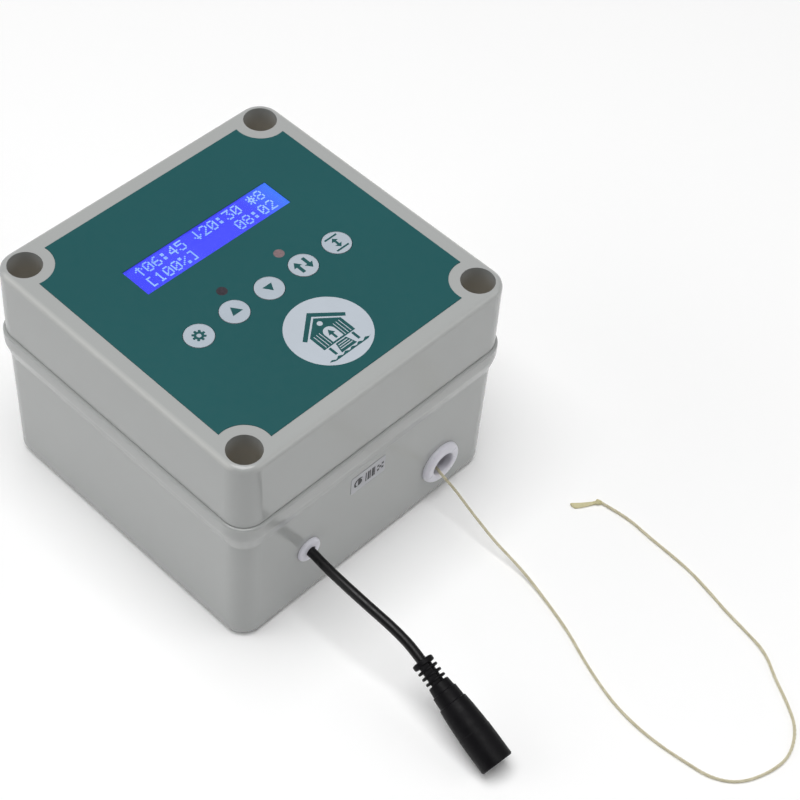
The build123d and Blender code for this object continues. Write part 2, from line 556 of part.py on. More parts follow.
G = STRING_D / 2 + 0.03
STRING_PTS = [
    (34.0, -56.0, 15.5), (34.0, -65.8, 15.5), (32.4, -75.2, 10.0), (31.8, -84.7, 7.1), (30.9, -94.5, 4.3),
    (30.8, -104.3, 2.3), (29.2, -114.1, 1.0), (26.6, -124.0, G), (23.7, -133.5, G), (19.7, -143.0, G),
    (16.4, -152.4, G), (13.7, -162.2, G), (12.5, -172.2, G), (12.6, -182.4, G), (13.8, -192.1, G),
    (15.4, -202.4, G), (21.0, -210.2, G), (31.7, -214.6, G), (41.0, -215.3, G), (50.8, -210.4, G),
    (56.6, -202.1, G), (61.3, -193.3, G), (67.1, -184.8, G), (69.0, -174.9, G), (70.5, -164.9, G),
    (72.8, -155.1, G), (74.7, -145.1, G), (75.2, -135.1, G), (75.3, -125.0, G), (75.9, -115.0, G),
    (74.6, -104.6, G)]
len_string = tube("pull_string", STRING_PTS, STRING_D, 3.6)

# knot and its short flattened tail at the string's end
kc = Vector(74.2, -103.3, 1.65)
knot = Pos(kc.X, kc.Y, kc.Z) * Sphere(1.62)
kd = Vector(65.6 - kc.X, -97.9 - kc.Y, 0)
tail_pl = Plane(origin=(kc.X, kc.Y, 1.05), x_dir=(0, 0, 1), z_dir=(kd.X, kd.Y, 0))
tail = tail_pl * extrude(Ellipse(0.85, 1.0), kd.length)
knot = knot + tail
knot -= Plane(origin=(74.6, -104.6, G), z_dir=(-1.3, 5.0, 0)) * Pos(0, 0, -3) * extrude(Circle(0.62), 3)
save("string_knot", knot)

# power lead: a short round cable that droops to a moulded inline socket, whose
# mouth end touches the surface the box rests on
C0 = Vector(-30.45, -113.55, 19.5)
C1 = Vector(-33.69, -152.07, 5.48)
axis = (C1 - C0).normalized()
LEAD_Y0 = GROMMET_FACE_Y + 6.0
LEAD_PTS = [
    (LEAD_X, LEAD_Y0, LEAD_Z), (LEAD_X, LEAD_Y0 - 7.4, LEAD_Z), (-31.1, -69.0, 27.5), (-31.5, -76.4, 27.2),
    (-31.6, -83.8, 26.6), (-31.3, -91.2, 25.6), (-30.7, -98.6, 24.2), (-29.8, -106.0, 22.25)]
last = (C0 - Vector(*LEAD_PTS[-1])).normalized()
end = C0 + last * 0.6
LEAD_PTS.append((end.X, end.Y, end.Z))
len_lead = tube("power_lead", LEAD_PTS, LEAD_D, 17.5)

# socket body along its own axis: collar, three thin ribs, stepped cone, barrel
L = (C1 - C0).length
pp = [(0, 0.0), (3.2, 0.0), (3.7, 0.25), (3.8, 0.6), (3.8, 1.6), (3.6, 1.95), (2.3, 2.15)]
for c in (3.45, 5.55, 7.65):
    pp += [(2.3, c - 0.55), (3.5, c - 0.45), (3.72, c - 0.22), (3.72, c + 0.22), (3.5, c + 0.45), (2.3, c + 0.55)]
pp += [(2.3, 8.9), (3.45, 9.0), (3.75, 9.3), (4.05, 12.25), (4.45, 12.55), (4.65, 16.7), (5.05, 17.0), (5.42, 21.0),
       (5.7, 26.4), (5.74, 28.3), (5.86, 28.6), (5.9, 34.0), (5.88, L - 0.5), (5.5, L), (0, L)]
cface = make_face(Polyline([(a, b) for a, b in pp], close=True))
body = revolve(cface, Axis.Y, 360)
body -= Pos(0, 0, 0) * (Rot(-90, 0, 0) * Pos(0, 0, L - 10.5) * extrude(Circle(3.3), 11))
# the local axis is +Y: turn it onto the socket's axis
pl = Plane(origin=C0, x_dir=Vector(axis.Y, -axis.X, 0).normalized(), z_dir=axis)
to_axis = pl.location * Rot(90, 0, 0)
body = to_axis * body
# two webs join the ribs along the relief
web_side = Vector(-0.49, -0.25, 0.83)
web_side = (web_side - axis * web_side.dot(axis)).normalized()
body += Plane(origin=C0 + axis * 1.2, x_dir=web_side.cross(axis), z_dir=axis) * extrude(Rectangle(2.6, 6.7), 8.4)
save("connector_body", body)
sleeve = Rot(-90, 0, 0) * Pos(0, 0, L - 10.5) * (extrude(Circle(3.3), 10.1) - Pos(0, 0, 0.8) * extrude(Circle(2.8), 11))
pin = Rot(-90, 0, 0) * Pos(0, 0, L - 9.7) * extrude(Circle(1.05), 9.0)
save("connector_contacts", group([to_axis * sleeve, to_axis * pin]))

# ------------------------------------------------------------------ internal wiring
def wire(pts, r):
    pts = [Vector(*p) for p in pts]
    rad = []
    for a, b, c in zip(pts[:-2], pts[1:-1], pts[2:]):
        u, v = (b - a), (c - b)
        rad.append(0.4 * min(u.length, v.length) / math.tan(math.radians(u.get_angle(v)) / 2))
    path = FilletPolyline(*pts, radius=rad)
    prof = Plane(origin=pts[0], z_dir=(pts[1] - pts[0]).normalized()) * Circle(r)
    return sweep(prof, path=path)


pw = [ycyl(LEAD_D / 2, LEAD_Y0, -48.5, LEAD_X, LEAD_Z)]
for s, t in ((-1, 0), (1, 1)):
    tx, ty = TERM[0]
    pw.append(wire([(LEAD_X + s * 0.85, -48.5, LEAD_Z), (LEAD_X + s * 0.85, -42.0, LEAD_Z + 1.0), (LEAD_X - 2 + s * 1.1, -33.0, 36.0),
                    (tx + 1 + s * 1.0, -22.0, 46.0), (tx, ty + s * 2.5, 58.0), (tx, ty + s * 2.5 - 0.01, BOARD_Z0 - 10.0 + 2.0)], 0.75))
save("power_wires", group(pw))
mw = []
for s in (-1, 1):
    tx, ty = TERM[1]
    my = MOTOR_Y + s * 8.5
    mw.append(wire([(MOT_X0 - 4.01, my, AX_Z), (MOT_X0 - 8.6, my, AX_Z), (MOT_X0 - 10.0, my - s * 1.5, 42.0),
                    (MOT_X0 - 3.0, ty + s * 4.0, 53.0), (tx, ty + s * 2.5, 61.0), (tx, ty + s * 2.5 - s * 0.01, BOARD_Z0 - 10.0 + 2.0)], 0.75))
save("motor_wires", group(mw))
print("string %.1f mm, lead %.1f mm" % (len_string, len_lead))
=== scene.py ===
import json
import math
import random

import bpy
import numpy as np
from mathutils import Matrix, Vector


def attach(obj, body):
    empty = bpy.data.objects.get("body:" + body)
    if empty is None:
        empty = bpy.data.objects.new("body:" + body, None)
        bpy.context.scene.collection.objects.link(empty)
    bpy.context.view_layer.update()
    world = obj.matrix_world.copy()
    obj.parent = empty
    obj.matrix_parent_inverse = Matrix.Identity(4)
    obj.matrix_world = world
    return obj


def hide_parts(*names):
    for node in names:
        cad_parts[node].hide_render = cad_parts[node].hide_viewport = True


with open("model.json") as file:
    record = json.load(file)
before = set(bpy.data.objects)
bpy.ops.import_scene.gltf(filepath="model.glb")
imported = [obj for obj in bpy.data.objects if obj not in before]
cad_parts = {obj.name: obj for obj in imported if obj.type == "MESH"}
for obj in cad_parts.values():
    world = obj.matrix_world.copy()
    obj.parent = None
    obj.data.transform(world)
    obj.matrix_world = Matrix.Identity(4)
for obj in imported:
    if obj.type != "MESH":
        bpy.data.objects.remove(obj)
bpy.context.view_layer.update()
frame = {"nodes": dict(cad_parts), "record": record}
N = frame["nodes"]
MM = 0.001
random.seed(7)
rng = np.random.default_rng(7)
scene = bpy.context.scene
scene.view_settings.view_transform = "Standard"


# ---------------------------------------------------------------- camera
cam_data = bpy.data.cameras.new("camera")
cam = bpy.data.objects.new("camera", cam_data)
scene.collection.objects.link(cam)
R, U, F = Vector((0.69728, -0.71407, 0.06252)), Vector((0.51984, 0.56381, 0.64178)), Vector((0.49352, 0.41500, -0.76434))
cam.matrix_world = Matrix((
    (R.x, U.x, -F.x, -0.31823),
    (R.y, U.y, -F.y, -0.33574),
    (R.z, U.z, -F.z, 0.57970),
    (0, 0, 0, 1)))
cam_data.sensor_width = 36.0
cam_data.lens = 91.733
cam_data.clip_start, cam_data.clip_end = 0.02, 20
scene.camera = cam


# ---------------------------------------------------------------- material helpers
def srgb(r, g, b):
    def f(c):
        c = c / 255.0
        return c / 12.92 if c <= 0.04045 else ((c + 0.055) / 1.055) ** 2.4
    return (f(r), f(g), f(b), 1.0)


class Mat:
    """A Principled material with procedural colour, roughness and bump from object coordinates."""

    def __init__(self, name, base, rough=0.4, metallic=0.0, spec=0.5, **sockets):
        self.m = bpy.data.materials.new(name)
        self.m.use_nodes = True
        self.nt = self.m.node_tree
        self.bsdf = self.nt.nodes["Principled BSDF"]
        self.base = tuple(base[:3]) + (1.0,)
        self.bsdf.inputs["Base Color"].default_value = self.base
        self.bsdf.inputs["Roughness"].default_value = rough
        self.bsdf.inputs["Metallic"].default_value = metallic
        self.bsdf.inputs["Specular IOR Level"].default_value = spec
        for k, v in sockets.items():
            self.bsdf.inputs[k.replace("_", " ")].default_value = v
        self.rough = rough
        self.coord = self.nt.nodes.new("ShaderNodeTexCoord")
        self.normal = None

    def node(self, kind, **props):
        n = self.nt.nodes.new(kind)
        for k, v in props.items():
            setattr(n, k, v)
        return n

    def link(self, a, b):
        self.nt.links.new(a, b)

    def vec(self, scale=(1, 1, 1), rot=(0, 0, 0)):
        mp = self.node("ShaderNodeMapping")
        mp.inputs["Scale"].default_value = scale
        mp.inputs["Rotation"].default_value = rot
        self.link(self.coord.outputs["Object"], mp.inputs["Vector"])
        return mp.outputs["Vector"]

    def noise(self, scale, detail=3.0, rough=0.5, stretch=(1, 1, 1), rot=(0, 0, 0)):
        n = self.node("ShaderNodeTexNoise")
        n.inputs["Scale"].default_value = scale
        n.inputs["Detail"].default_value = detail
        n.inputs["Roughness"].default_value = rough
        self.link(self.vec(stretch, rot), n.inputs["Vector"])
        return n.outputs["Fac"]

    def ramp(self, fac, stops):
        r = self.node("ShaderNodeValToRGB")
        el = r.color_ramp.elements
        while len(el) > len(stops):
            el.remove(el[-1])
        while len(el) < len(stops):
            el.new(0.5)
        for e, (p, c) in zip(el, stops):
            e.position = p
            e.color = tuple(c[:3]) + (1.0,)
        self.link(fac, r.inputs["Fac"])
        return r.outputs["Color"]

    def range(self, fac, lo, hi, a=0.0, b=1.0):
        r = self.node("ShaderNodeMapRange")
        r.inputs["From Min"].default_value, r.inputs["From Max"].default_value = a, b
        r.inputs["To Min"].default_value, r.inputs["To Max"].default_value = lo, hi
        self.link(fac, r.inputs["Value"])
        return r.outputs["Result"]

    def tint(self, scale, amount, detail=2.0, stretch=(1, 1, 1)):
        """Base colour that wanders a little, lighter and darker."""
        f = self.noise(scale, detail, 0.5, stretch)
        lo = [max(0, c * (1 - amount)) for c in self.base[:3]]
        hi = [min(1, c * (1 + amount)) for c in self.base[:3]]
        c = self.ramp(f, [(0.3, lo), (0.7, hi)])
        self.link(c, self.bsdf.inputs["Base Color"])
        return c

    def rough_var(self, scale, lo, hi, detail=3.0, stretch=(1, 1, 1)):
        self.link(self.range(self.noise(scale, detail, 0.55, stretch), lo, hi, 0.3, 0.7), self.bsdf.inputs["Roughness"])

    def bump(self, height, dist, strength=1.0):
        b = self.node("ShaderNodeBump")
        b.inputs["Strength"].default_value = strength
        b.inputs["Distance"].default_value = dist
        self.link(height, b.inputs["Height"])
        if self.normal is not None:
            self.link(self.normal, b.inputs["Normal"])
        self.normal = b.outputs["Normal"]
        self.link(self.normal, self.bsdf.inputs["Normal"])


def mixnode_sockets(mx):
    col = [s for s in mx.inputs if s.type == "RGBA"]
    fac = [s for s in mx.inputs if s.type == "VALUE" and s.enabled][0]
    out = [s for s in mx.outputs if s.type == "RGBA"][0]
    return fac, col[0], col[1], out


def mix_rgb(m, fac, a, b):
    mx = m.node("ShaderNodeMix")
    mx.data_type = "RGBA"
    f, ca, cb, out = mixnode_sockets(mx)
    for sock, v in ((f, fac), (ca, a), (cb, b)):
        if isinstance(v, bpy.types.NodeSocket):
            m.link(v, sock)
        elif isinstance(v, (int, float)):
            sock.default_value = v
        else:
            sock.default_value = tuple(v[:3]) + (1.0,)
    return out


M = {}
WELL_PAINTED_SHADE = srgb(186, 180, 168)

# moulded grey ABS: fine spark-eroded grain, faint flow variation, half-gloss;
# the deep screw wells are painted a warmer shade, set by position, standing in for the light the plastic bounces around
# inside them
m = Mat("grey_abs", srgb(170, 172, 171), 0.18, spec=0.5)
body_col = m.tint(22, 0.014, 3)
sep = m.node("ShaderNodeSeparateXYZ")
m.link(m.coord.outputs["Object"], sep.inputs["Vector"])
# mask for the painted warm shade in the four screw wells: distance from the nearest well axis, then z from 45 mm,
# fading out between 84 and 91.5 mm
offs = []
for axis_name in ("X", "Y"):
    ab = m.node("ShaderNodeMath", operation="ABSOLUTE")
    m.link(sep.outputs[axis_name], ab.inputs[0])
    su = m.node("ShaderNodeMath", operation="SUBTRACT")
    m.link(ab.outputs[0], su.inputs[0])
    su.inputs[1].default_value = 0.0525
    pw = m.node("ShaderNodeMath", operation="MULTIPLY")
    m.link(su.outputs[0], pw.inputs[0])
    m.link(su.outputs[0], pw.inputs[1])
    offs.append(pw.outputs[0])
ad = m.node("ShaderNodeMath", operation="ADD")
m.link(offs[0], ad.inputs[0])
m.link(offs[1], ad.inputs[1])
sq = m.node("ShaderNodeMath", operation="SQRT")
m.link(ad.outputs[0], sq.inputs[0])
inside = m.range(sq.outputs[0], 1.0, 0.0, 0.00597, 0.0061)
deep = m.range(sep.outputs["Z"], 1.0, 0.0, 0.084, 0.0915)
above = m.range(sep.outputs["Z"], 0.0, 1.0, 0.040, 0.045)
low = m.node("ShaderNodeMath", operation="MULTIPLY")
m.link(deep, low.inputs[0])
m.link(above, low.inputs[1])
well_shade_mask = m.node("ShaderNodeMath", operation="MULTIPLY")
m.link(inside, well_shade_mask.inputs[0])
m.link(low.outputs[0], well_shade_mask.inputs[1])
# painted highlight along the lid's rounded top edges: their colour is made paler, most along -X and +X
edge_highlights = []
for axis_name, highlight_strength in (("X", 0.42), ("Y", 0.12)):
    ab = m.node("ShaderNodeMath", operation="ABSOLUTE")
    m.link(sep.outputs[axis_name], ab.inputs[0])
    su = m.node("ShaderNodeMath", operation="ADD")
    m.link(ab.outputs[0], su.inputs[0])
    m.link(sep.outputs["Z"], su.inputs[1])
    edge_highlights.append(m.range(su.outputs[0], 0.0, highlight_strength, 0.15080, 0.15155))
edge_highlight = m.node("ShaderNodeMath", operation="MAXIMUM")
m.link(edge_highlights[0], edge_highlight.inputs[0])
m.link(edge_highlights[1], edge_highlight.inputs[1])
# mixes the painted edge highlight into the body colour
body_col = mix_rgb(m, edge_highlight.outputs[0], body_col, srgb(208, 208, 204))
# the painted warm shade is mixed in last, inside the wells
m.link(mix_rgb(m, well_shade_mask.outputs[0], body_col, WELL_PAINTED_SHADE), m.bsdf.inputs["Base Color"])
m.rough_var(160, 0.15, 0.21)
m.bump(m.noise(1300, 2), 0.0000020)
m.bump(m.noise(60, 1), 0.0000035)
M["grey_abs"] = m.m

m = Mat("seal_foam", srgb(38, 38, 38), 0.85)
m.tint(900, 0.25)
m.bump(m.noise(2600, 3), 0.00006)
M["seal_foam"] = m.m

m = Mat("grey_nylon", srgb(120, 121, 120), 0.45)
m.tint(300, 0.06)
m.bump(m.noise(1800, 3), 0.00002)
M["grey_nylon"] = m.m

# printed teal polyester overlay
m = Mat("printed_overlay", (0.0140, 0.0930, 0.0985), 0.42, spec=0.22)
m.tint(14, 0.03, 2)
m.rough_var(420, 0.36, 0.48)
m.bump(m.noise(4200, 2, 0.6), 0.000006)
M["printed_overlay"] = m.m

m = Mat("clear_window", (0.97, 0.98, 1.0), 0.06, spec=0.35, Transmission_Weight=1.0, IOR=1.30)
m.bump(m.noise(300, 1), 0.000003)
M["clear_window"] = m.m

# the two small windows: dark red over the lamp, pinkish over the light sensor
m = Mat("tinted_window", srgb(92, 60, 62), 0.30, spec=0.3)
sep = m.node("ShaderNodeSeparateXYZ")
m.link(m.coord.outputs["Object"], sep.inputs["Vector"])
side = m.range(sep.outputs["X"], 0.0, 1.0, -0.001, 0.001)
speck = m.noise(900, 3)
dark = m.ramp(speck, [(0.3, srgb(50, 46, 52)), (0.7, srgb(66, 60, 66))])
pink = m.ramp(speck, [(0.3, srgb(118, 104, 106)), (0.7, srgb(140, 116, 119))])
m.link(mix_rgb(m, side, dark, pink), m.bsdf.inputs["Base Color"])
m.bump(m.noise(2600, 2), 0.000005)
M["tinted_window"] = m.m

m = Mat("led_red", srgb(150, 40, 40), 0.2)
m.tint(800, 0.15)
M["led_red"] = m.m
m = Mat("sensor_cream", srgb(205, 170, 160), 0.35)
wave = m.node("ShaderNodeTexWave")
wave.inputs["Scale"].default_value = 900
m.link(m.coord.outputs["Object"], wave.inputs["Vector"])
m.link(m.ramp(wave.outputs["Fac"], [(0.45, srgb(214, 180, 168)), (0.6, srgb(170, 70, 50))]), m.bsdf.inputs["Base Color"])
M["sensor_cream"] = m.m
m = Mat("bezel_black", srgb(22, 22, 25), 0.4)
m.tint(500, 0.2)
m.bump(m.noise(2000, 2), 0.00001)
M["bezel_black"] = m.m

# lit blue display, brighter towards the end where its lamp sits
m = Mat("lcd_blue", srgb(40, 44, 150), 0.25, spec=0.25)
sep = m.node("ShaderNodeSeparateXYZ")
m.link(m.coord.outputs["Object"], sep.inputs["Vector"])
endf = m.range(sep.outputs["X"], 0.0, 1.0, 0.020, 0.0335)
cloud = m.ramp(m.noise(45, 1), [(0.3, (0.050, 0.058, 0.85)), (0.7, (0.064, 0.076, 0.92))])
glow = mix_rgb(m, endf, cloud, (0.055, 0.235, 0.95))
m.link(glow, m.bsdf.inputs["Emission Color"])
m.bsdf.inputs["Emission Strength"].default_value = 0.92
m.bump(m.noise(3000, 1), 0.000002)
M["lcd_blue"] = m.m

m = Mat("board_green", srgb(20, 92, 56), 0.32)
m.tint(260, 0.2, 4)
m.bump(m.noise(1500, 2), 0.00002)
M["board_green"] = m.m
m = Mat("black_nylon", srgb(24, 24, 25), 0.5)
m.tint(600, 0.2)
m.bump(m.noise(2200, 2), 0.000015)
M["black_nylon"] = m.m

m = Mat("zinc_steel", srgb(196, 198, 202), 0.34, metallic=1.0)
m.tint(180, 0.07, 4)
m.rough_var(700, 0.26, 0.42, 4, (1, 1, 8))
m.bump(m.noise(1600, 3, 0.6, (1, 1, 6)), 0.000008)
M["zinc_steel"] = m.m
m = Mat("bright_steel", srgb(205, 204, 200), 0.22, metallic=1.0)
m.tint(240, 0.05, 3)
m.rough_var(900, 0.16, 0.30, 4, (6, 1, 1))
m.bump(m.noise(1800, 3, 0.6, (8, 1, 1)), 0.000005)
M["bright_steel"] = m.m
m = Mat("bright_aluminium", srgb(214, 215, 218), 0.28, metallic=1.0)
m.rough_var(700, 0.2, 0.34)
m.bump(m.noise(1600, 2), 0.000006)
M["bright_aluminium"] = m.m
m = Mat("relay_blue", srgb(38, 78, 150), 0.35)
m.tint(300, 0.08)
m.bump(m.noise(2000, 2), 0.00001)
M["relay_blue"] = m.m
m = Mat("brass", srgb(202, 164, 92), 0.3, metallic=1.0)
m.tint(260, 0.1, 4)
m.rough_var(900, 0.22, 0.38)
m.bump(m.noise(1700, 3), 0.000006)
M["brass"] = m.m
m = Mat("ferrite", srgb(52, 52, 55), 0.55)
m.tint(900, 0.25)
m.bump(m.noise(2400, 3), 0.00002)
M["ferrite"] = m.m

m = Mat("white_plastic", srgb(224, 223, 232), 0.3, spec=0.42)
m.tint(120, 0.02)
m.rough_var(500, 0.25, 0.36)
m.bump(m.noise(1200, 2), 0.0000015)
M["white_plastic"] = m.m
m = Mat("white_nylon", srgb(228, 226, 216), 0.45)
m.tint(200, 0.03)
m.bump(m.noise(1500, 2), 0.000012)
M["white_nylon"] = m.m

# insulated wires: red, black and grey by where they run
m = Mat("wire_insulation", srgb(150, 22, 22), 0.4)
wn = m.noise(130, 1)
m.link(m.ramp(wn, [(0.42, srgb(150, 22, 22)), (0.5, srgb(24, 24, 26)), (0.62, srgb(24, 24, 26))]), m.bsdf.inputs["Base Color"])
m.bump(m.noise(1500, 2), 0.00001)
M["wire_insulation"] = m.m

# pale braided cord: fibres along each strand, waxed olive-beige
m = Mat("braided_string", srgb(216, 209, 186), 0.62, spec=0.3, Sheen_Weight=0.25, Sheen_Roughness=0.4)
big = m.noise(420, 3, 0.6)
fib = m.noise(5200, 3, 0.6, (1, 1, 0.35))
c = m.ramp(fib, [(0.28, srgb(179, 171, 142)), (0.5, srgb(214, 207, 179)), (0.75, srgb(233, 228, 205))])
d = m.ramp(big, [(0.3, srgb(194, 185, 153)), (0.7, srgb(231, 225, 202))])
m.link(mix_rgb(m, 0.45, c, d), m.bsdf.inputs["Base Color"])
m.bump(fib, 0.00004)
M["braided_string"] = m.m

m = Mat("string_tail", srgb(224, 217, 168), 0.62, spec=0.3, Sheen_Weight=0.25, Sheen_Roughness=0.4)
fib = m.noise(5200, 3, 0.6)
m.link(m.ramp(fib, [(0.28, srgb(184, 175, 132)), (0.5, srgb(210, 203, 162)), (0.75, srgb(226, 220, 188))]), m.bsdf.inputs["Base Color"])
m.bump(fib, 0.00004)
M["string_tail"] = m.m

# black flexible PVC: satin jacket and moulded connector
m = Mat("lead_jacket", srgb(12, 11, 13), 0.30, spec=0.30)
m.tint(200, 0.12, 3)
m.rough_var(600, 0.28, 0.44)
m.bump(m.noise(1500, 3), 0.000014)
m.bump(m.noise(220, 2), 0.00003)
M["lead_jacket"] = m.m
m = Mat("connector_pvc", srgb(12, 11, 14), 0.5, spec=0.13)
m.tint(260, 0.15, 3)
m.rough_var(500, 0.42, 0.58)
m.bump(m.noise(1700, 3), 0.000012)
m.bump(m.noise(240, 2), 0.00003)
M["connector_pvc"] = m.m

m = Mat("sticker_film", srgb(186, 187, 192), 0.4, spec=0.35)
m.tint(500, 0.02)
m.bump(m.noise(2600, 2), 0.000006)
M["sticker_film"] = m.m

# keys and emblem: pale grey-white print
m = Mat("key_plastic", srgb(176, 186, 196), 0.4, spec=0.3)
m.tint(160, 0.02)
m.rough_var(700, 0.34, 0.46)
m.bump(m.noise(3200, 2), 0.000006)
M["key_plastic"] = m.m

m = Mat("emblem_white", srgb(186, 194, 203), 0.42, spec=0.22)
m.tint(90, 0.02)
m.bump(m.noise(4200, 2), 0.000005)
M["emblem_white"] = m.m
m = Mat("teal_ink", (0.014, 0.088, 0.092), 0.45, spec=0.22)
m.tint(400, 0.10)
m.bump(m.noise(4200, 2), 0.000005)
M["teal_ink"] = m.m
m = Mat("black_ink", srgb(46, 46, 50), 0.5, spec=0.3)
m.tint(900, 0.15)
M["black_ink"] = m.m
m = Mat("display_dots", srgb(120, 150, 240), 0.4, spec=0.2)
m.link(m.ramp(m.noise(70, 1), [(0.3, (0.17, 0.31, 0.98)), (0.7, (0.26, 0.42, 1.0))]), m.bsdf.inputs["Emission Color"])
m.bsdf.inputs["Emission Strength"].default_value = 0.95
M["display_dots"] = m.m

m = Mat("floor", srgb(249, 249, 249), 0.6, spec=0.2, Emission_Color=(1, 1, 1, 1), Emission_Strength=0.06)
m.tint(6, 0.004)
M["floor"] = m.m

OWN = {"connector_body": "connector_pvc"}
for row in frame["record"]["subparts"]:
    o = N[row["node"]]
    mat = M[OWN.get(row["node"], row["material_slot"])]
    if not o.data.materials:
        o.data.materials.append(mat)
    for s in o.material_slots:
        s.link = "OBJECT"
        s.material = mat


# ---------------------------------------------------------------- geometry helpers
def new_mesh(name, verts, faces, mat, body, smooth=True):
    me = bpy.data.meshes.new(name)
    me.from_pydata([tuple(v) for v in verts], [], faces)
    me.update()
    if smooth:
        me.polygons.foreach_set("use_smooth", [True] * len(me.polygons))
    me.materials.append(M[mat])
    o = bpy.data.objects.new(name, me)
    scene.collection.objects.link(o)
    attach(o, body)
    return o


def nurbs(name, pts):
    """An open third-order curve whose control points are pts, in mm."""
    cu = bpy.data.curves.new(name, "CURVE")
    cu.dimensions = "3D"
    sp = cu.splines.new("NURBS")
    sp.points.add(len(pts) - 1)
    for p, q in zip(sp.points, pts):
        p.co = (q[0] * MM, q[1] * MM, q[2] * MM, 1.0)
    sp.order_u = 3
    sp.use_endpoint_u = True
    sp.resolution_u = 24
    return cu


def line_of(cu):
    """The curve's own line, as points in metres."""
    tmp = bpy.data.objects.new("line_tmp", cu)
    me = bpy.data.meshes.new_from_object(tmp)
    pts = np.array([v.co for v in me.vertices], float)
    bpy.data.objects.remove(tmp)
    bpy.data.meshes.remove(me)
    keep = [0]
    for i in range(1, len(pts)):
        if np.linalg.norm(pts[i] - pts[keep[-1]]) > 1e-7:
            keep.append(i)
    return pts[keep]


def resample(line, step):
    along = np.concatenate([[0], np.cumsum(np.linalg.norm(np.diff(line, axis=0), axis=1))])
    n = max(2, int(round(along[-1] / step)) + 1)
    at = np.linspace(0, along[-1], n)
    return np.stack([np.interp(at, along, line[:, k]) for k in range(3)], 1), at


def frames_along(p):
    """Tangent, side and up at each point, turning as little as possible."""
    t = np.gradient(p, axis=0)
    t /= np.linalg.norm(t, axis=1)[:, None]
    u = np.zeros_like(p)
    a = np.array([0, 0, 1.0])
    a = a - t[0] * (a @ t[0])
    u[0] = a / np.linalg.norm(a)
    for i in range(1, len(p)):
        a = u[i - 1] - t[i] * (u[i - 1] @ t[i])
        u[i] = a / np.linalg.norm(a)
    return t, np.cross(t, u), u


def tube(p, radius, sides=8, squash=None, cap=True):
    """Vertices and faces of a tube along p with one radius per point."""
    t, s, u = frames_along(p)
    r = np.broadcast_to(np.asarray(radius, float), (len(p),))
    ang = np.arange(sides) * 2 * math.pi / sides
    v = (p[:, None, :] + r[:, None, None] * (np.cos(ang)[None, :, None] * s[:, None, :] + np.sin(ang)[None, :, None] * u[:, None, :]))
    verts = v.reshape(-1, 3)
    n = len(p)
    faces = []
    for i in range(n - 1):
        a, b = i * sides, (i + 1) * sides
        for j in range(sides):
            k = (j + 1) % sides
            faces.append((a + j, a + k, b + k, b + j))
    if cap:
        faces.append(tuple(reversed(range(sides))))
        faces.append(tuple(range((n - 1) * sides, n * sides)))
    return verts, faces


def merged(parts):
    verts, faces, off = [], [], 0
    for v, f in parts:
        verts.append(np.asarray(v))
        faces += [tuple(i + off for i in q) for q in f]
        off += len(v)
    return np.concatenate(verts), faces


def print_shape(name, loops, place, mat, body, thick=0.02):
    """A thin printed shape. loops are closed outlines in mm, nested ones are holes; place takes it to its face."""
    cu = bpy.data.curves.new(name, "CURVE")
    cu.dimensions = "2D"
    cu.fill_mode = "BOTH"
    cu.extrude = thick / 2 * MM
    for lp in loops:
        sp = cu.splines.new("POLY")
        sp.points.add(len(lp) - 1)
        for p, q in zip(sp.points, lp):
            p.co = (q[0] * MM, q[1] * MM, 0, 1)
        sp.use_cyclic_u = True
    tmp = bpy.data.objects.new(name + "_tmp", cu)
    me = bpy.data.meshes.new_from_object(tmp)
    bpy.data.objects.remove(tmp)
    bpy.data.curves.remove(cu)
    me.transform(place @ Matrix.Translation((0, 0, thick / 2 * MM)))
    me.name = name
    me.materials.clear()
    me.materials.append(M[mat])
    o = bpy.data.objects.new(name, me)
    scene.collection.objects.link(o)
    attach(o, body)
    return o


def circle(cx, cy, r, n=64, a0=0.0):
    return [(cx + r * math.cos(a0 + 2 * math.pi * i / n), cy + r * math.sin(a0 + 2 * math.pi * i / n)) for i in range(n)]


def rect(x0, y0, x1, y1):
    return [(x0, y0), (x1, y0), (x1, y1), (x0, y1)]


def at(x, y, z):
    return Matrix.Translation((x * MM, y * MM, z * MM))


# ---------------------------------------------------------------- pull string
G = 0.66
STRING_PTS = [
    (34.0, -56.0, 15.5), (33.1, -60.0, 15.6), (32.45, -64.6, 14.8), (32.4, -70.0, 13.2), (31.7, -77.0, 10.7),
    (31.1, -84.5, 8.15), (30.7, -92.0, 5.6), (30.7, -99.5, 3.75), (30.25, -107.0, 2.25), (28.75, -115.5, 1.05),
    (26.6, -124.0, G),
    (23.7, -133.5, G), (19.7, -143.0, G),
    (16.4, -152.4, G), (13.7, -162.2, G), (12.5, -172.2, G), (12.6, -182.4, G), (13.8, -192.1, G),
    (15.4, -202.4, G), (21.0, -210.2, G), (31.7, -214.6, G), (41.0, -215.3, G), (50.8, -210.4, G),
    (56.6, -202.1, G), (61.3, -193.3, G), (67.1, -184.8, G), (69.0, -174.9, G), (70.5, -164.9, G),
    (72.8, -155.1, G), (74.7, -145.1, G), (75.2, -135.1, G), (75.5, -125.0, G), (76.4, -115.0, G),
    (74.6, -104.6, G)]
string_line = line_of(nurbs("string_route", STRING_PTS))
sp_pts, sp_at = resample(string_line, 0.00017)
t_, s_, u_ = frames_along(sp_pts)
strands = []
PITCH, R0, DR, RS = 0.0062, 0.00034, 0.00008, 0.000155
lump = 1 + 0.05 * np.interp(sp_at, np.linspace(0, sp_at[-1], 60), rng.normal(size=60).clip(-1.5, 1.5))
phase = 2 * math.pi * sp_at / PITCH + np.interp(sp_at, np.linspace(0, sp_at[-1], 40), np.cumsum(rng.normal(scale=0.25, size=40)))
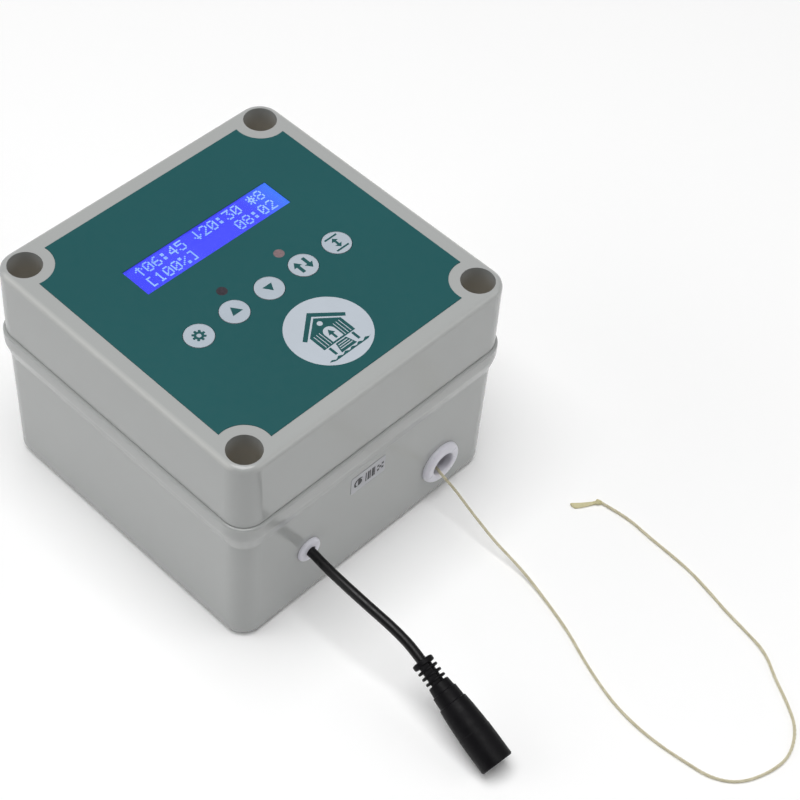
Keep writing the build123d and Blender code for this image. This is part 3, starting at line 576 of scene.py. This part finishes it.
for k in range(4):
    for sign in (1, -1):
        th = sign * phase + k * math.pi / 2
        rr = (R0 + sign * DR * np.cos(4 * phase)) * lump
        c = sp_pts + rr[:, None] * (np.cos(th)[:, None] * s_ + np.sin(th)[:, None] * u_)
        strands.append(tube(c, RS * lump, 6))
v, f = merged(strands)
v[:, 2] = np.maximum(v[:, 2], 0.00004)
string_obj = new_mesh("braided_pull_string", v, f, "braided_string", "housing")
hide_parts("pull_string")

# the knot and its flattened tail, cut off aslant
kc = np.array((73.75, -103.3, 0.98)) * MM
TAIL = np.array([(73.75, -103.3), (72.2, -102.4), (69.5, -100.45), (66.55, -98.5), (65.3, -97.2)]) * MM
tw = np.array([0, 0.173, 0.496, 0.829, 1.0])
tail_x, tail_y = np.polyfit(tw, TAIL[:, 0], 2), np.polyfit(tw, TAIL[:, 1], 2)
ex = np.array((TAIL[2][0] - TAIL[0][0], TAIL[2][1] - TAIL[0][1], 0))
ex /= np.linalg.norm(ex)
ez = np.array((0, 0, 1.0))
ey = np.cross(ez, ex)
S = 0.00028
tt = np.linspace(math.pi + 0.25, 3 * math.pi - 0.25, 90)
loop = np.stack([1.12 * (np.sin(tt) + 2 * np.sin(2 * tt)), 0.86 * (np.cos(tt) - 2 * np.cos(2 * tt) + 0.4), -1.1 * np.sin(3 * tt)], 1) * S
loop = kc + loop[:, :1] * ex + loop[:, 1:2] * ey + loop[:, 2:3] * ez
start = sp_pts[-1]
lead_in = np.stack([start + (loop[0] - start) * w + np.array((0, 0, 0.0003)) * math.sin(math.pi * w) for w in np.linspace(0, 1, 8)[:-1]])
lead_out = np.stack([loop[-1] + (kc + ex * 0.0018 - ez * 0.0002 - loop[-1]) * w for w in np.linspace(0, 1, 6)[1:]])
knot_path = np.concatenate([lead_in, loop, lead_out])
for _ in range(6):
    knot_path[1:-1] = 0.5 * knot_path[1:-1] + 0.25 * (knot_path[:-2] + knot_path[2:])
kp, ka = resample(knot_path, 0.00012)
tk, sk, uk = frames_along(kp)
kn = []
ph = 2 * math.pi * ka / 0.0052
for k in range(4):
    for sign in (1, -1):
        th = sign * ph + k * math.pi / 2
        rr = 0.00032 + sign * 0.00006 * np.cos(4 * ph)
        kn.append(tube(kp + rr[:, None] * (np.cos(th)[:, None] * sk + np.sin(th)[:, None] * uk), 0.00016, 6))
kn.append(tube(kp, 0.00030, 6))
v, f = merged(kn)
v[:, 2] = np.maximum(v[:, 2], 0.00004)
knot_obj = new_mesh("string_end_knot", v, f, "string_tail", "housing")
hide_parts("string_knot")
kn = []
w = np.linspace(0.08, 1, 30)
for i in range(30):
    a = (i + 0.5) / 30 * 2 - 1
    row = (i % 3) - 1
    reach_ = 1 - 0.11 * ((a + 1) / 2) ** 1.4 - 0.07 * a ** 4 - 0.03 * rng.random()
    ws = w * reach_
    half = 0.00030 + 0.00108 * ws ** 0.9
    mid = np.stack([np.polyval(tail_x, ws), np.polyval(tail_y, ws), 0.00085 - 0.00045 * np.clip(ws * 2.2, 0, 1)], 1)
    line = (mid + ey * (a * half + 0.00005 * np.sin(7 * ws + i))[:, None]
            + ez * (0.00020 * row * (1 - 0.5 * ws) + 0.00004 * np.sin(9 * ws + 2 * i))[:, None])
    kn.append(tube(line, 0.00016 * (1 - 0.4 * np.clip(w - 0.85, 0, 1) * 6), 6))
v, f = merged(kn)
v[:, 2] = np.maximum(v[:, 2], 0.00004)
tail_obj = new_mesh("string_end_tail", v, f, "string_tail", "housing")
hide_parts("string_knot")

# ---------------------------------------------------------------- power lead
LEAD_PTS = [
    (-30.5, -54.22, 27.6), (-30.5, -61.62, 27.6), (-31.2, -69.0, 27.35), (-31.5, -76.4, 27.1), (-31.5, -83.8, 26.6),
    (-31.15, -91.2, 25.55), (-30.65, -97.8, 24.4), (-30.25, -103.6, 22.95), (-30.1, -109.0, 21.25), (-30.5, -114.1, 19.3)]
cu = nurbs("power_lead_curve", LEAD_PTS)
cu.bevel_depth = 1.75 * MM
cu.bevel_resolution = 10
cu.use_fill_caps = True
cu.materials.append(M["lead_jacket"])
lead = bpy.data.objects.new("power_lead_cable", cu)
scene.collection.objects.link(lead)
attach(lead, "housing")
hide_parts("power_lead")

# ---------------------------------------------------------------- printed graphics
DISH = 92.30
LABEL = 92.15
KX = [-31.6 + 15.4 * i for i in range(5)]
KY = -8.8

# key 1: cog wheel
outer = []
for i in range(8):
    a = 2 * math.pi * i / 8
    for da, r in ((-0.26, 1.72), (-0.20, 2.35), (-0.09, 2.42), (0.09, 2.42), (0.20, 2.35), (0.26, 1.72)):
        outer.append((r * math.cos(a + da), r * math.sin(a + da)))
print_shape("symbol_settings", [outer, circle(0, 0, 0.82, 40)], at(KX[0], KY, DISH), "teal_ink", "settings_key")
# key 2 and 3: up and down
print_shape("symbol_up", [[(-1.65, -1.2), (2.65, -1.2), (0.1, 2.35)]], at(KX[1], KY, DISH), "teal_ink", "up_key")
print_shape("symbol_down", [[(-1.85, 1.45), (0.35, -1.7), (2.1, 1.45)]], at(KX[2], KY, DISH), "teal_ink", "down_key")
# key 4: trial run, an arrow each way
up_arrow = [(-2.5, -2.6), (-1.2, -2.6), (-1.2, 0.5), (-0.15, 0.5), (-1.85, 2.8), (-3.55, 0.5), (-2.5, 0.5)]
dn_arrow = [(-x, -y) for x, y in up_arrow]
print_shape("symbol_run", [up_arrow, dn_arrow], at(KX[3], KY, DISH), "teal_ink", "run_key")
# key 5: teach the end stops, a two-headed arrow between two bars
print_shape("symbol_teach", [rect(-2.7, 2.65, 2.7, 3.35), rect(-2.7, -3.35, 2.7, -2.65),
                             [(-0.45, -0.8), (-1.45, -0.8), (0, -2.3), (1.45, -0.8), (0.45, -0.8), (0.45, 0.8), (1.45, 0.8), (0, 2.3), (-1.45, 0.8), (-0.45, 0.8)]],
            at(KX[4], KY, DISH), "teal_ink", "teach_key")

# emblem: a plain disc with a little hen house
EX, EY = 0.49, -35.1
print_shape("emblem_disc", [circle(0, 0, 14.8, 160)], at(EX, EY, LABEL), "emblem_white", "housing", 0.02)
hut = []
hut.append([(-9.6, 2.1), (0, 10.2), (9.6, 2.1), (8.6, 0.9), (0, 8.0), (-8.6, 0.9)])
body = [(-6.9, -5.2), (6.9, -5.2), (6.9, 1.5), (0, 7.1), (-6.9, 1.5)]
hut.append(body)
arch = [(-2.3, -4.5), (2.3, -4.5), (2.3, -0.6)] + [(2.3 * math.cos(a), -0.6 + 2.3 * math.sin(a)) for a in np.linspace(0.15, math.pi - 0.15, 14)] + [(-2.3, -0.6)]
hut.append(arch)
hut.append([(-0.45, -3.9), (0.45, -3.9), (0.45, -1.7), (1.35, -1.7), (0, 0.5), (-1.35, -1.7), (-0.45, -1.7)])
hut.append(circle(0, 4.1, 1.0, 32))
for x in (-5.7, -4.5, -3.3, 3.0, 4.2, 5.4):
    hut.append(rect(x, -4.7, x + 0.28, 1.2))
hut.append(rect(-5.6, -9.0, -4.6, -5.6))
hut.append(rect(4.6, -9.0, 5.6, -5.6))
hut.append([(-2.3, -5.6), (2.3, -5.6), (3.4, -9.6), (-3.4, -9.6)])
for y in (-6.5, -7.4, -8.3):
    w = 2.3 + (-5.6 - y) * 0.275 - 0.5
    hut.append(rect(-w, y - 0.16, w, y + 0.16))
hut.append([(-9.3, -10.1)] + [(x, -10.1 + 0.35 * math.sin(x * 2.1)) for x in np.linspace(-8.6, 8.6, 30)] + [(9.3, -10.1), (7.2, -10.9), (-7.2, -10.9)])
print_shape("emblem_hen_house", hut, at(EX, EY, LABEL + 0.02), "teal_ink", "housing", 0.015)

# ---------------------------------------------------------------- dot-matrix display
GLYPH = {
    "0": ("01110", "10001", "10011", "10101", "11001", "10001", "01110"),
    "1": ("00100", "01100", "00100", "00100", "00100", "00100", "01110"),
    "2": ("01110", "10001", "00001", "00010", "00100", "01000", "11111"),
    "3": ("11111", "00010", "00100", "00010", "00001", "10001", "01110"),
    "4": ("00010", "00110", "01010", "10010", "11111", "00010", "00010"),
    "5": ("11111", "10000", "11110", "00001", "00001", "10001", "01110"),
    "6": ("00110", "01000", "10000", "11110", "10001", "10001", "01110"),
    "7": ("11111", "10001", "00001", "00010", "00100", "00100", "00100"),
    "8": ("01110", "10001", "10001", "01110", "10001", "10001", "01110"),
    ":": ("00000", "01100", "01100", "00000", "01100", "01100", "00000"),
    "-": ("00000", "00000", "00000", "11111", "00000", "00000", "00000"),
    "%": ("11000", "11001", "00010", "00100", "01000", "10011", "00011"),
    "[": ("01110", "01000", "01000", "01000", "01000", "01000", "01110"),
    "]": ("01110", "00010", "00010", "00010", "00010", "00010", "01110"),
    "u": ("00100", "01110", "10101", "00100", "00100", "00100", "00100"),
    "d": ("00100", "00100", "00100", "00100", "10101", "01110", "00100"),
    "*": ("00100", "10101", "01110", "11011", "01110", "10101", "00100"),
    " ": ("00000",) * 7,
}
TEXT = ("u06:45 d20:30 *8", "[100%]     08:02")
CH, DX, DY, DW, DH = 3.55, 0.60, 0.65, 0.54, 0.58
X0 = -27.95
TOPS = (27.85, 21.85)
verts, faces = [], []
for row, top in zip(TEXT, TOPS):
    for c, ch in enumerate(row):
        for r, bits in enumerate(GLYPH[ch]):
            for k, b in enumerate(bits):
                if b == "1":
                    x = X0 + c * CH + k * DX
                    y = top - r * DY
                    n = len(verts)
                    for z in (91.205, 91.225):
                        for dx, dy in ((0, 0), (DW, 0), (DW, -DH), (0, -DH)):
                            verts.append(((x + dx) * MM, (y + dy) * MM, z * MM))
                    faces += [(n, n + 1, n + 2, n + 3), (n + 7, n + 6, n + 5, n + 4), (n, n + 4, n + 5, n + 1),
                              (n + 1, n + 5, n + 6, n + 2), (n + 2, n + 6, n + 7, n + 3), (n + 3, n + 7, n + 4, n)]
new_mesh("display_dots", verts, faces, "display_dots", "housing", smooth=False)

# ---------------------------------------------------------------- wall sticker
DRAFT = math.atan2(0.45, 49.7)


def on_wall(x, z, out):
    """Places a flat shape on the lower wall: its x along +X, its y up the wall, its z outwards."""
    y = -(59.9 + (z - 1.5) * math.tan(DRAFT) + out)
    return Matrix.Translation((x * MM, y * MM, z * MM)) @ Matrix.Rotation(math.pi / 2 + DRAFT, 4, "X")


marks = [circle(-4.4, 0, 2.3, 40), circle(-4.4, 0, 1.5, 40), rect(-4.85, -1.5, -3.95, 1.5)]
for i, w in enumerate((0.5, 0.8, 0.5, 0.9, 0.5)):
    marks.append(rect(-1.3 + i * 1.0, -2.3, -1.3 + i * 1.0 + w, 2.3))
for i in range(3):
    for j in range(3):
        if (i + j) % 2 == 0:
            marks.append(rect(4.2 + i * 1.05, -1.6 + j * 1.05, 5.25 + i * 1.05 - 0.06, -0.55 + j * 1.05 - 0.06))
print_shape("sticker_marks", marks, on_wall(-3.4, 43.8, 0.146), "black_ink", "housing", 0.015)

# ---------------------------------------------------------------- floor and light
me = bpy.data.meshes.new("floor")
me.from_pydata([(-3, -3, 0), (3, -3, 0), (3, 3, 0), (-3, 3, 0)], [], [(0, 1, 2, 3)])
me.materials.append(M["floor"])
floor = bpy.data.objects.new("floor", me)
scene.collection.objects.link(floor)

world = bpy.data.worlds.new("studio")
world.use_nodes = True
wn = world.node_tree
bg = wn.nodes["Background"]
tc = wn.nodes.new("ShaderNodeTexCoord")
sx = wn.nodes.new("ShaderNodeSeparateXYZ")
rm = wn.nodes.new("ShaderNodeValToRGB")
rm.color_ramp.elements[0].position, rm.color_ramp.elements[0].color = 0.0, (0.44, 0.44, 0.44, 1)
rm.color_ramp.elements[1].position, rm.color_ramp.elements[1].color = 1.0, (0.18, 0.18, 0.18, 1)
e = rm.color_ramp.elements.new(0.5)
e.color = (0.25, 0.25, 0.25, 1)
wn.links.new(tc.outputs["Generated"], sx.inputs["Vector"])
wn.links.new(sx.outputs["Z"], rm.inputs["Fac"])
wn.links.new(rm.outputs["Color"], bg.inputs["Color"])
# the studio is dimmer on its open side, towards -X -Y
ad = wn.nodes.new("ShaderNodeMath")
wn.links.new(sx.outputs["X"], ad.inputs[0])
wn.links.new(sx.outputs["Y"], ad.inputs[1])
mr = wn.nodes.new("ShaderNodeMapRange")
mr.inputs["From Min"].default_value, mr.inputs["From Max"].default_value = -1.3, 0.5
mr.inputs["To Min"].default_value, mr.inputs["To Max"].default_value = 0.15, 1.0
wn.links.new(ad.outputs[0], mr.inputs["Value"])
wn.links.new(mr.outputs["Result"], bg.inputs["Strength"])
scene.world = world


def softbox(name, pos, target, size, power):
    d = bpy.data.lights.new(name, "AREA")
    d.shape = "RECTANGLE"
    d.size, d.size_y = size
    d.energy = power
    o = bpy.data.objects.new(name, d)
    scene.collection.objects.link(o)
    o.location = pos
    o.rotation_mode = "QUATERNION"
    o.rotation_quaternion = (Vector(target) - Vector(pos)).to_track_quat("-Z", "Y")


softbox("left_light", (-1.00, 0.72, 0.68), (0, 0, 0.05), (1.0, 0.7), 3.1)
softbox("right_light", (0.72, -1.00, 0.68), (0, 0, 0.05), (1.0, 0.7), 2.45)
softbox("top_light", (-0.25, -0.05, 2.3), (0, -0.05, 0.05), (1.6, 1.6), 44.0)
